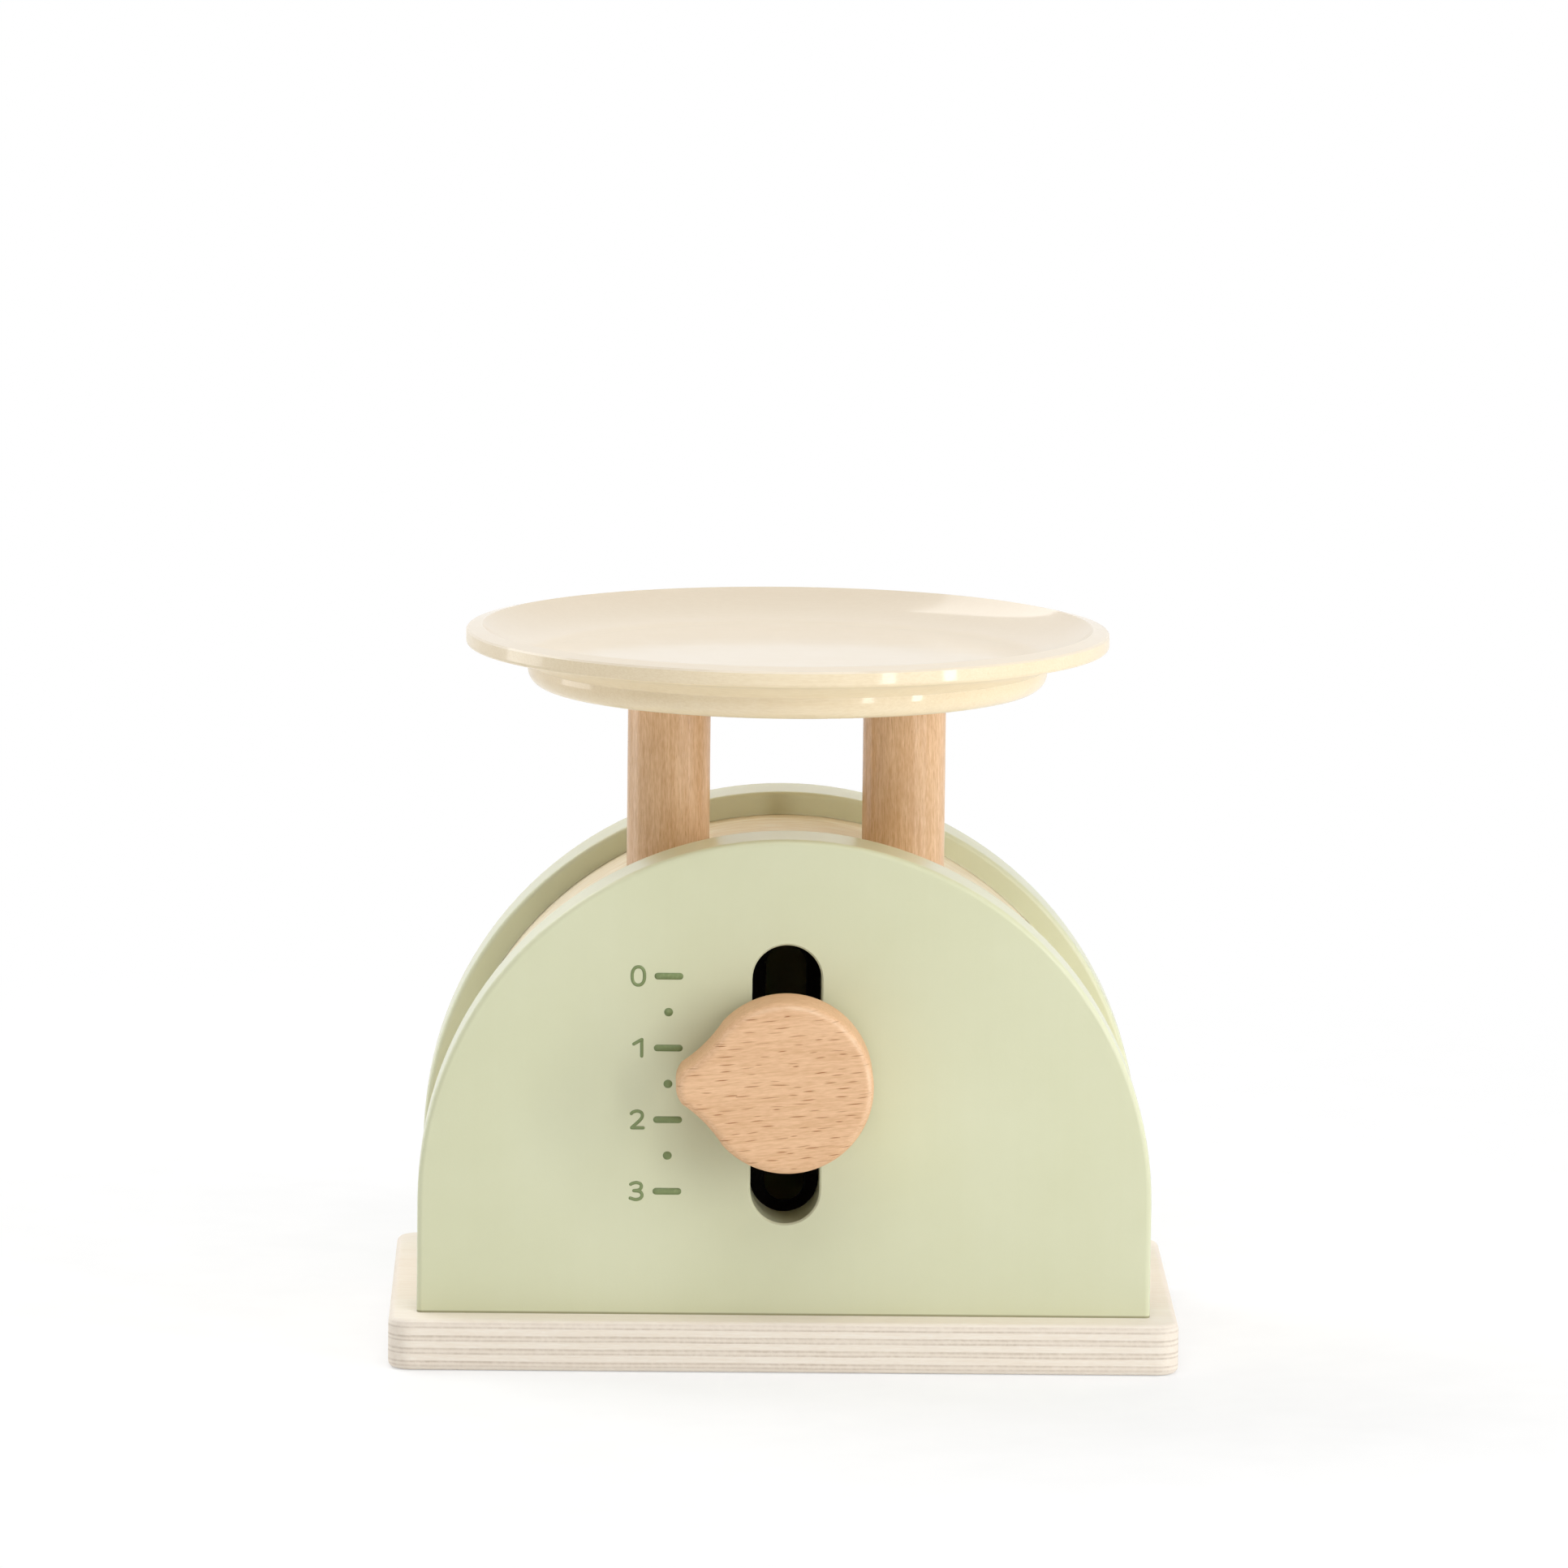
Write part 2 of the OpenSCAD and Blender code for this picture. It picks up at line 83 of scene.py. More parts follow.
# Lamps: azimuth and elevation in degrees, distance and size in metres, power in watts,
# and whether the lamp shows in reflections
LAMPS = {
    "front_top": (0, 58, 1.6, (1.0, 1.0), 8.4, True),
    "front_strip": (34, 11.4, 0.9, (0.08, 0.5), 1.52, True),
    "side_strip": (57, 11.4, 0.9, (0.08, 0.5), 1.95, True),
    "right_edge": (105, 10, 1.6, (0.8, 0.8), 4.8, True),
    "left_side": (-106, 4, 0.8, (0.3, 0.3), 0.95, True),
    "back_left": (-130, 45, 1.6, (0.9, 0.9), 8.5, True),
    "back_low": (180, 26, 1.6, (1.0, 1.0), 5.0, False),
}
HORIZON_LIGHT = 0.0
OVERHEAD_LIGHT = 0.59

# Floor: half its width and its level, and how its white veil grows away from the scale
FLOOR_HALF = 4.0
FLOOR_Z = -0.1 * MM
VEIL_NEAR = 0.5
VEIL_FROM = 0.16
VEIL_TO = 0.5

# Finishes, in sRGB steps of 0 to 255
SAGE = (209, 211, 176)
SAGE_PALE = (214, 216, 184)
# Paler colour of the paint's edges: wear, and a painted highlight where the rounded edges catch the
# light
SAGE_WORN_HIGHLIGHT = (240, 240, 222)
# Colour of the painted shade along the panels' foot
SAGE_FOOT_SHADE = (128, 124, 82)
PRINT_GREEN = (121, 137, 89)
PRINT_THIN = (138, 153, 107)
BIRCH_LIGHT = (243, 235, 223)
BIRCH_STREAK = (237, 226, 211)
BIRCH_END = (231, 220, 206)
GLUE_BROWN = (204, 190, 174)
STRIP_LIGHT = (252, 246, 226)
STRIP_STREAK = (234, 218, 186)
KNOB_LIGHT = (232, 192, 153)
KNOB_STREAK = (214, 171, 131)
# Paler beech of worn edges, and of the painted highlight on the edges and on the knob's rim
KNOB_WORN_HIGHLIGHT = (246, 219, 188)
POST_LIGHT = (232, 196, 157)
POST_STREAK = (207, 165, 121)
FLECK_BROWN = (156, 98, 56)
CREAM = (239, 223, 192)
CREAM_STREAK = (232, 214, 180)
# Painted shade of the lacquer's upward faces
CREAM_SHADED_UP = (232, 220, 203)
CREAM_WORN = (246, 236, 214)
# Near-black felt behind the slot; the sheet also stands in for the shade inside the case
FELT_BLACK = (9, 7, 6)
FELT_GREY = (13, 11, 10)
STEEL_BRIGHT = (198, 199, 201)
STEEL_DULL = (150, 151, 154)
PAPER = (248, 248, 248)
PAPER_PALE = (252, 252, 252)
WHITE = (255, 255, 255)

# Clear coat over paint and polished wood
CLEAR_COAT = {"Coat_Roughness": 0.25, "Coat_IOR": 1.5}

# Roughness of the finishes, at their shiniest and at their dullest
SAGE_SHEEN = (0.40, 0.50)
BIRCH_SHEEN = (0.5, 0.64)
BEECH_SHEEN = (0.52, 0.66)
CREAM_SHEEN = (0.32, 0.42)
FELT_SHEEN = (0.88, 1.0)
STEEL_SHEEN = (0.24, 0.38)
INK_SHEEN = (0.45, 0.6)

# How far the edges of a finish go over to their paler colour: wear on the lacquer, and wear with a
# painted highlight on the paint and the beech
SAGE_WEAR_HIGHLIGHT = 0.6
BEECH_WEAR_HIGHLIGHT = 0.5
CREAM_WEAR = 0.3

# Waves per metre of the patterns, on all axes or on X, Y and Z; wood has its grain along X
FIBRE_WAVES = (90.0, 2100.0, 2100.0)
PORE_WAVES = (520.0, 3600.0, 3600.0)
BAND_WAVES = (14.0, 190.0, 190.0)
SWAY_WAVES = 70.0
EDGE_PATCH_WAVES = 220.0
RIM_PATCH_WAVES = 260.0
CLOUD_WAVES = 38.0
SMEAR_WAVES = (110.0, 60.0, 110.0)
RELIEF_WAVES = 1900.0
BRUSH_WAVES = (420.0, 420.0, 14.0)
PLY_WANDER_WAVES = (30.0, 30.0, 500.0)
GLUE_WAVES = (45.0, 45.0, 700.0)
END_PORE_WAVES = 900.0
HAIR_WAVES = 2600.0
TUFT_WAVES = 420.0
INK_SPOT_WAVES = 1300.0
PAPER_WAVES = 60.0

# Part of a noise's values that is spread over the full range
NOISE_LOW = 0.3
NOISE_HIGH = 0.7

# Wood grain: shares of fibres, pores and bands, and the values between which streaks show
FIBRE_SHARE = 0.37
PORE_SHARE = 0.4
BAND_SHARE = 0.23
STREAK_FROM = 0.39
STREAK_TO = 0.61

# Bent strip: waves of its grain round the arch, across it and into its depth, as shares of the
# wood grain's own
STRIP_GRAIN = (0.28, 0.36, 0.3)

# Paint: shares of clouds and of brush marks in its tone
PAINT_CLOUDS = 0.75
PAINT_BRUSH = 0.25

# Lacquer: slope between which painted shade greys it, 1 facing up, and how far
UP_SHADE_SLOPE = (0.2, 0.7)
UP_SHADE_MOST = 0.7

# Felt and ink: tones between which the nap shows, and the share of clouds in thin ink
NAP_TONES = (0.15, 0.4)
INK_CLOUDS = 0.5

# Flecks of the beech: room for each along and across the grain, half of its length and
# thickness, how far the rows sway, how much of a fleck is fully dark, its faintest tone, its
# relief, and how they fade on the sides, where 1 faces the front or back
FLECK_ROOM_ALONG = 4.9 * MM
FLECK_ROOM_ACROSS = 1.8 * MM
FLECK_HALF_SHORT = 0.9 * MM
FLECK_HALF_LONG = 2.5 * MM
FLECK_HALF_T = 0.14 * MM
FLECK_SWAY = 1.6 * MM
FLECK_CORE = 0.4
FLECK_FAINT = 0.35
FLECK_RELIEF = 1.5
FLECK_FACING = (0.3, 0.8)
FLECK_ON_SIDES = 0.12

# Paler edges, from wear and on the paint and beech also a painted highlight: cosine of the turn
# at which paling starts and at which it is full, its faintest tone, and how finely the turn is read
EDGE_TURN_STARTS = 0.98
EDGE_TURN_FULL = 0.8
EDGE_PATCH_FAINT = 0.35
BEVEL_SAMPLES = 6

# Painted highlight on a rounded rim, in rubbed patches: where it starts and ends as the face turns,
# where 1 faces the front or back, and how it grows to the upper right, where the light falls
RIM_OUTER = (0.5, 0.85)
RIM_INNER = (0.88, 0.995)
RIM_HIGHLIGHT_SIDE = (0.0, 0.6)
RIM_FAINT = 0.2

# Painted shade: a dark line in the crease where the painted panels stand on the base
FOOT_SHADE_LINE = 0.55 * MM
FOOT_SHADE_DARKNESS = 0.8

# Plies of the base board, from its underside up: each cross ply lies between two glue lines
FACE_PLY = 0.85 * MM
CROSS_PLY = 1.35 * MM
GLUE_LINE = 0.42 * MM
PLY_PITCH = 2.77 * MM
PLY_WANDER = 0.5 * MM
PLY_BLUR = 0.08 * MM
GLUE_BLUR = 0.14 * MM

# Printed scale on the front panel
UNIT_STEP = 15.62 * MM
ZERO_MARK_DROP = 29.7 * MM
NUMBERS = (0, 1, 2, 3)
BAR_X = -25.35 * MM
BAR_LENGTH = 6.2 * MM
BAR_HEIGHT = 1.45 * MM
DOT_D = 1.9 * MM
DOT_DAB = 0.1 * MM
NUMERAL_X = -31.9 * MM
NUMERAL_HEIGHT = 4.3 * MM
NUMERAL_STROKE = 0.7 * MM
INK_T = 0.04 * MM
INK_STEP = 0.006 * MM

# Pen lines of the plain numerals, of height 1 about their middle: a line of two points is straight
# and a longer one is a smooth curve; the zero is an oval
ZERO_OVAL = (0.62, 0.92)
NUMERAL_PENS = {
    1: [[(0.2, -0.42), (0.2, 0.42)],
        [(0.2, 0.42), (0.06, 0.34), (-0.2, 0.19)]],
    2: [[(-0.29, 0.3), (-0.2, 0.38), (0.0, 0.43), (0.2, 0.36), (0.26, 0.2), (0.17, 0.0),
         (-0.27, -0.42)],
        [(-0.27, -0.42), (0.31, -0.42)]],
    3: [[(-0.29, 0.34), (-0.2, 0.39), (0.0, 0.43), (0.2, 0.36), (0.24, 0.21), (0.14, 0.07),
         (-0.13, 0.02)],
        [(-0.13, 0.02), (0.16, -0.02), (0.28, -0.19), (0.2, -0.36), (-0.03, -0.43),
         (-0.31, -0.36)]],
}

# Felt behind the slot: half width of its slit, how far the slit runs past the felt's own round
# ends, and its nap with the waves per metre of its tufts and of its broad unevenness
FELT_SLIT_HALF_W = 4.4 * MM
FELT_SLIT_OVER = 0.85 * MM
FELT_SINK = 0.22 * MM
FELT_TUFT = 0.12 * MM
FELT_WAVE = 0.1 * MM
FELT_TUFTS_PER_M = 900
FELT_WAVES_PER_M = 260

# Springs and screws; the sizes of the cross recess are shares of the head's radius or width
SPRING_WIRE = 0.5 * MM
SPRING_TURNS = 15
CLOSED_TURNS = 1
SCREW_D = 4.0 * MM
SCREW_HEAD_D = 8.0 * MM
BAR_SCREW_D = 3.0 * MM
BAR_SCREW_HEAD_D = 6.0 * MM
BAR_SCREW_REACH = 4.0 * MM
HEAD_LAND = 0.1 * MM
THREAD_PITCH = 1.4 * MM
THREAD_DEPTH = 0.35 * MM
THREAD_SLOPE = 1.5
CROSS_ARM = 0.62
CROSS_HALF_ARM = 0.15
CROSS_DEPTH = 0.2
CROSS_FLOOR = 0.6


def linear(colour):
    """Linear RGBA of an sRGB colour given in steps of 0 to 255."""
    steps = [c / 255 for c in colour]
    return [s / 12.92 if s <= 0.04045 else ((s + 0.055) / 1.055) ** 2.4 for s in steps] + [1.0]


class Steps:
    """Adds shader nodes to a tree, so that a finish reads as a list of steps."""

    def __init__(self, tree):
        self.tree = tree

    def feed(self, socket, value):
        """Links another node's output to a socket, or sets its value."""
        if isinstance(value, bpy.types.NodeSocket):
            self.tree.links.new(value, socket)
        else:
            socket.default_value = value

    def add(self, kind, sockets=None, **settings):
        """Adds a node with its settings and the values of its sockets."""
        node = self.tree.nodes.new("ShaderNode" + kind)
        for name, value in settings.items():
            setattr(node, name, value)
        for name, value in (sockets or {}).items():
            self.feed(node.inputs[name], value)
        return node

    def group(self, name, **sockets):
        """Places a shared effect, with its own values, and returns its outputs."""
        node = self.add("Group", node_tree=bpy.data.node_groups[name])
        for label, value in sockets.items():
            self.feed(node.inputs[label], value)
        return node.outputs

    def math(self, operation, a, b=0.0):
        return self.add("Math", {0: a, 1: b}, operation=operation).outputs[0]

    def plus(self, a, b):
        return self.math("ADD", a, b)

    def minus(self, a, b):
        return self.math("SUBTRACT", a, b)

    def times(self, product, *factors):
        for factor in factors:
            product = self.math("MULTIPLY", product, factor)
        return product

    def absolute(self, value):
        return self.math("ABSOLUTE", value)

    def range(self, value, low, high, to_low=0.0, to_high=1.0):
        """Value taken from one range to another, and held within it."""
        sockets = {"Value": value, "From Min": low, "From Max": high,
                   "To Min": to_low, "To Max": to_high}
        return self.add("MapRange", sockets).outputs["Result"]

    def mix(self, share, a, b):
        """Colour between a and b."""
        node = self.add("Mix", data_type="RGBA")
        ends = {s.identifier: s for s in node.inputs}
        self.feed(ends["Factor_Float"], share)
        self.feed(ends["A_Color"], a)
        self.feed(ends["B_Color"], b)
        return next(s for s in node.outputs if s.identifier == "Result_Color")

    def scaled(self, vector, scale):
        """Vector times a number, or times one number for each axis."""
        axes = scale if isinstance(scale, tuple) else (scale, scale, scale)
        return self.add("VectorMath", {0: vector, 1: axes}, operation="MULTIPLY").outputs[0]

    def noise(self, vector, waves, detail=2.0, roughness=0.5):
        sockets = {"Vector": self.scaled(vector, waves), "Scale": 1.0,
                   "Detail": detail, "Roughness": roughness}
        return self.add("TexNoise", sockets).outputs[0]

    def patches(self, vector, waves, detail=2.0, low=NOISE_LOW, high=NOISE_HIGH, faint=0.0):
        """Patches of noise, from faint to 1."""
        return self.range(self.noise(vector, waves, detail), low, high, faint)

    def split(self, vector):
        return self.add("SeparateXYZ", {"Vector": vector}).outputs

    def joined(self, **axes):
        return self.add("CombineXYZ", axes).outputs[0]

    def length(self, vector):
        return self.add("VectorMath", {0: vector}, operation="LENGTH").outputs["Value"]

    def normal(self):
        return self.add("NewGeometry").outputs["Normal"]

    def bump(self, height, strength, distance):
        sockets = {"Height": height, "Strength": strength, "Distance": distance}
        return self.add("Bump", sockets).outputs["Normal"]


def new_group(name, inputs, outputs):
    """Starts a shader node group with named sockets: its steps, its inputs and its output node."""
    tree = bpy.data.node_groups.new(name, "ShaderNodeTree")
    for in_out, sockets in (("INPUT", inputs), ("OUTPUT", outputs)):
        for label, kind in sockets:
            tree.interface.new_socket(label, in_out=in_out, socket_type="NodeSocket" + kind)
    taken = tree.nodes.new("NodeGroupInput")
    given = tree.nodes.new("NodeGroupOutput")
    return Steps(tree), taken.outputs, given.inputs


# Effects that several finishes share

def wood_grain_group():
    """Fine fibres, short pores and faint broad bands along X of the coordinates."""
    inputs = [("Coordinates", "Vector"), ("Ground", "Color"), ("Streak", "Color")]
    outputs = [("Colour", "Color"), ("Relief", "Float")]
    steps, taken, given = new_group("wood grain", inputs, outputs)
    fibre = steps.noise(taken["Coordinates"], FIBRE_WAVES, detail=3.0)
    pores = steps.noise(taken["Coordinates"], PORE_WAVES)
    band = steps.noise(taken["Coordinates"], BAND_WAVES)
    fine = steps.plus(steps.times(fibre, FIBRE_SHARE), steps.times(pores, PORE_SHARE))
    both = steps.plus(fine, steps.times(band, BAND_SHARE))
    streaks = steps.range(both, STREAK_FROM, STREAK_TO)
    steps.feed(given["Colour"], steps.mix(streaks, taken["Ground"], taken["Streak"]))
    steps.feed(given["Relief"], fibre)


def wood_flecks_group():
    """Short dark flecks along X of the coordinates, as beech has; Keep is the share that shows."""
    inputs = [("Coordinates", "Vector"), ("Keep", "Float")]
    steps, taken, given = new_group("wood flecks", inputs, [("Flecks", "Float")])
    cloud = steps.noise(taken["Coordinates"], SWAY_WAVES)
    sway = steps.times(steps.minus(cloud, 0.5), FLECK_SWAY)
    place = steps.split(taken["Coordinates"])
    row = steps.math("DIVIDE", steps.plus(place["Z"], sway), FLECK_ROOM_ACROSS)
    flat = steps.joined(X=steps.math("DIVIDE", place["X"], FLECK_ROOM_ALONG), Y=row)
    cells = steps.add("TexVoronoi", {"Vector": flat, "Scale": 1.0}, voronoi_dimensions="2D").outputs
    chance = steps.split(cells["Color"])
    apart = steps.add("VectorMath", {0: flat, 1: cells["Position"]}, operation="SUBTRACT")
    off = steps.split(apart.outputs[0])
    shortest, longest = FLECK_HALF_SHORT / FLECK_ROOM_ALONG, FLECK_HALF_LONG / FLECK_ROOM_ALONG
    half_length = steps.range(chance["Z"], 0.0, 1.0, shortest, longest)
    lengthwise = steps.math("DIVIDE", off["X"], half_length)
    across = steps.math("DIVIDE", off["Y"], FLECK_HALF_T / FLECK_ROOM_ACROSS)
    distance = steps.length(steps.joined(X=lengthwise, Y=across))
    mark = steps.range(distance, FLECK_CORE, 1.0, 1.0, 0.0)
    shown = steps.math("LESS_THAN", chance["X"], taken["Keep"])
    strength = steps.range(chance["Y"], 0.0, 1.0, FLECK_FAINT)
    steps.feed(given["Flecks"], steps.times(mark, shown, strength))


def edge_mask_group():
    """Mask of edges worn by hands, where a surface turns within Width; on the paint and beech it
    also carries a painted highlight.
    """
    inputs = [("Coordinates", "Vector"), ("Width", "Float")]
    steps, taken, given = new_group("edge mask", inputs, [("Edge", "Float")])
    rounded = steps.add("Bevel", {"Radius": taken["Width"]}, samples=BEVEL_SAMPLES)
    sides = {0: rounded.outputs["Normal"], 1: steps.normal()}
    same = steps.add("VectorMath", sides, operation="DOT_PRODUCT").outputs["Value"]
    turn = steps.range(same, EDGE_TURN_STARTS, EDGE_TURN_FULL)
    patchy = steps.patches(taken["Coordinates"], EDGE_PATCH_WAVES, faint=EDGE_PATCH_FAINT)
    steps.feed(given["Edge"], steps.times(turn, patchy))


def hand_finish_group():
    """Unevenness of a hand-finished skin: clouds of tone, two levels of sheen, and fine relief."""
    inputs = [("Coordinates", "Vector"), ("Sheen Low", "Float"), ("Sheen High", "Float")]
    outputs = [("Clouds", "Float"), ("Roughness", "Float"), ("Relief", "Float")]
    steps, taken, given = new_group("hand finish", inputs, outputs)
    steps.feed(given["Clouds"], steps.patches(taken["Coordinates"], CLOUD_WAVES, detail=3.0))
    smears = steps.noise(taken["Coordinates"], SMEAR_WAVES, detail=3.0)
    sheen = steps.range(smears, NOISE_LOW, NOISE_HIGH, taken["Sheen Low"], taken["Sheen High"])
    steps.feed(given["Roughness"], sheen)
    steps.feed(given["Relief"], steps.noise(taken["Coordinates"], RELIEF_WAVES))


# Finishes

GRAIN_TURNS = {"X": (0.0, 0.0, 0.0), "Y": (0.0, 0.0, -math.pi / 2), "Z": (0.0, math.pi / 2, 0.0)}


def new_finish(name, **constants):
    """Starts a material: the material, its steps, its shader and its coordinates."""
    material = bpy.data.materials.new(name)
    material.use_nodes = True
    steps = Steps(material.node_tree)
    shader = material.node_tree.nodes["Principled BSDF"]
    for label, value in constants.items():
        shader.inputs[label.replace("_", " ")].default_value = value
    coordinates = steps.add("TexCoord").outputs["Object"]
    return material, steps, shader.inputs, coordinates


def hand_finish(steps, place, sheen):
    """Places the unevenness of a hand-finished skin, with its own sheen."""
    levels = {"Sheen Low": sheen[0], "Sheen High": sheen[1]}
    return steps.group("hand finish", Coordinates=place, **levels)


def cover(steps, shader, colour, roughness, relief, strength, depth):
    """Gives a shader the colour, roughness and relief of a finish."""
    steps.feed(shader["Base Color"], colour)
    steps.feed(shader["Roughness"], roughness)
    steps.feed(shader["Normal"], steps.bump(relief, strength, depth))


def along(steps, coordinates, axis, slant=0.0):
    """Coordinates turned so that X runs with the grain; slant tilts the grain off its axis."""
    turned = steps.add("Mapping", {"Vector": coordinates, "Rotation": GRAIN_TURNS[axis]}).outputs[0]
    return steps.add("Mapping", {"Vector": turned, "Rotation": (0.0, slant, 0.0)}).outputs[0]


def sage_paint():
    """Satin paint under a thin clear coat, which shines where an edge is seen at a low angle."""
    material, steps, shader, place = new_finish(
        "sage_paint", Specular_IOR_Level=0.3, Coat_Weight=0.6, **CLEAR_COAT)
    skin = hand_finish(steps, place, SAGE_SHEEN)
    edge_mask = steps.group("edge mask", Coordinates=place, Width=0.9 * MM)["Edge"]
    brush = steps.noise(place, BRUSH_WAVES)
    tone = steps.plus(steps.times(skin["Clouds"], PAINT_CLOUDS), steps.times(brush, PAINT_BRUSH))
    paint = steps.mix(tone, linear(SAGE), linear(SAGE_PALE))
    # Paler edges: wear, and a painted highlight where the rounded edges catch the light
    edge_and_slope_tone = steps.mix(steps.times(edge_mask, SAGE_WEAR_HIGHLIGHT), paint, linear(SAGE_WORN_HIGHLIGHT))
    # Painted shade along the foot of the panels, in the crease where they stand on the base
    foot_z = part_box("front_panel")[0].z
    height = steps.split(place)["Z"]
    foot_shade = steps.range(height, foot_z + FOOT_SHADE_LINE / 2, foot_z + FOOT_SHADE_LINE, FOOT_SHADE_DARKNESS, 0.0)
    colour = steps.mix(foot_shade, edge_and_slope_tone, linear(SAGE_FOOT_SHADE))
    relief = steps.plus(skin["Relief"], brush)
    cover(steps, shader, colour, skin["Roughness"], relief, strength=0.06, depth=0.2 * MM)
    return material


def birch_ply():
    """Plies by height; each shows long grain or end grain by the way its face looks."""
    material, steps, shader, place = new_finish("birch_ply", Specular_IOR_Level=0.3)
    skin = hand_finish(steps, place, BIRCH_SHEEN)
    height = steps.split(place)["Z"]
    wander = steps.minus(steps.noise(place, PLY_WANDER_WAVES), 0.5)
    bent = steps.plus(height, steps.times(wander, PLY_WANDER))
    phase = steps.math("FLOORED_MODULO", steps.minus(bent, FACE_PLY), PLY_PITCH)
    half_ply = CROSS_PLY / 2
    from_middle = steps.absolute(steps.minus(phase, half_ply))
    cross = steps.range(from_middle, half_ply - PLY_BLUR, half_ply + PLY_BLUR, 1.0, 0.0)
    from_line = steps.absolute(steps.minus(from_middle, half_ply - GLUE_LINE / 2))
    seam = steps.range(from_line, GLUE_LINE / 8, GLUE_LINE / 2 + GLUE_BLUR, 1.0, 0.0)
    glue = steps.times(seam, steps.patches(place, GLUE_WAVES, high=0.65, faint=0.5))
    looks = steps.split(steps.normal())
    front_end = steps.times(cross, steps.absolute(looks["Y"]))
    side_end = steps.times(steps.minus(1.0, cross), steps.absolute(looks["X"]))
    grain = steps.group("wood grain", Coordinates=along(steps, place, "X"),
                        Ground=linear(BIRCH_LIGHT), Streak=linear(BIRCH_STREAK))
    pores = steps.patches(place, END_PORE_WAVES, detail=3.0, low=0.35, high=0.65, faint=0.55)
    upright = steps.minus(1.0, steps.absolute(looks["Z"]))
    glued = steps.times(glue, upright, pores)
    end_grain = steps.times(steps.plus(front_end, side_end), pores)
    wood = steps.mix(end_grain, grain["Colour"], linear(BIRCH_END))
    colour = steps.mix(glued, wood, linear(GLUE_BROWN))
    relief = steps.minus(grain["Relief"], end_grain)
    cover(steps, shader, colour, skin["Roughness"], relief, strength=0.18, depth=0.3 * MM)
    return material


def birch_strip():
    """Strip bent round the case, so its grain runs round the arch and down its legs with it."""
    material, steps, shader, place = new_finish("birch_strip", Specular_IOR_Level=0.3)
    skin = hand_finish(steps, place, BIRCH_SHEEN)
    low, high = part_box("arch_cover")
    bend_r = (high.x - low.x) / 2
    at = steps.split(place)
    rise = steps.minus(at["Z"], high.z - bend_r)
    above = steps.math("MAXIMUM", rise, 0.0)
    round_arch = steps.times(steps.math("ARCTAN2", at["X"], above), bend_r)
    down_leg = steps.times(steps.math("SIGN", at["X"]), steps.minus(above, rise))
    depth = steps.length(steps.joined(X=at["X"], Z=above))
    bent = steps.joined(X=steps.plus(round_arch, down_leg), Y=at["Y"], Z=depth)
    grain = steps.group("wood grain", Coordinates=steps.scaled(bent, STRIP_GRAIN),
                        Ground=linear(STRIP_LIGHT), Streak=linear(STRIP_STREAK))
    cover(steps, shader, grain["Colour"], skin["Roughness"], grain["Relief"],
          strength=0.15, depth=0.2 * MM)
    return material


def beech(name, axis, light, streak, slant, flecks_kept, fleck_size, fleck_depth,
          rim_wear_highlight=0.0, gloss=0.0):
    """Beech with its grain along an axis, short flecks on its front and back and paler edges.

    A face with a rounded rim can get a painted highlight, in rubbed patches, pale at its upper
    right where the light falls, as it starts to turn.
    """
    material, steps, shader, place = new_finish(
        name, Specular_IOR_Level=0.2, Coat_Weight=gloss, **CLEAR_COAT)
    lie = along(steps, place, axis, slant)
    skin = hand_finish(steps, place, BEECH_SHEEN)
    grain = steps.group("wood grain", Coordinates=lie, Ground=linear(light), Streak=linear(streak))
    looks = steps.split(steps.normal())
    facing = steps.absolute(looks["Y"])
    sized = steps.scaled(lie, 1 / fleck_size)
    drawn = steps.group("wood flecks", Coordinates=sized, Keep=flecks_kept)["Flecks"]
    flecks = steps.times(drawn, steps.range(facing, *FLECK_FACING, FLECK_ON_SIDES))
    edge_mask = steps.group("edge mask", Coordinates=place, Width=1.5 * MM)["Edge"]
    wood = steps.mix(steps.times(flecks, fleck_depth), grain["Colour"], linear(FLECK_BROWN))
    # Painted highlight on the rounded rim, in rubbed patches, growing to the upper right where the
    # light falls
    within = steps.range(facing, *RIM_OUTER)
    turning = steps.times(within, steps.range(facing, *RIM_INNER, rim_wear_highlight, 0.0))
    lit_upper_right = steps.range(steps.plus(looks["X"], looks["Z"]), *RIM_HIGHLIGHT_SIDE, RIM_FAINT)
    rubs = steps.patches(place, RIM_PATCH_WAVES, detail=3.0, low=0.35, high=0.65, faint=0.3)
    rim = steps.times(turning, steps.times(lit_upper_right, rubs))
    # Paler edges: wear, and a painted highlight along the edges and the rim
    edge_and_slope_tone = steps.math("MAXIMUM", steps.times(edge_mask, BEECH_WEAR_HIGHLIGHT), rim)
    colour = steps.mix(edge_and_slope_tone, wood, linear(KNOB_WORN_HIGHLIGHT))
    relief = steps.minus(grain["Relief"], steps.times(flecks, FLECK_RELIEF))
    cover(steps, shader, colour, skin["Roughness"], relief, strength=0.10, depth=0.2 * MM)
    return material


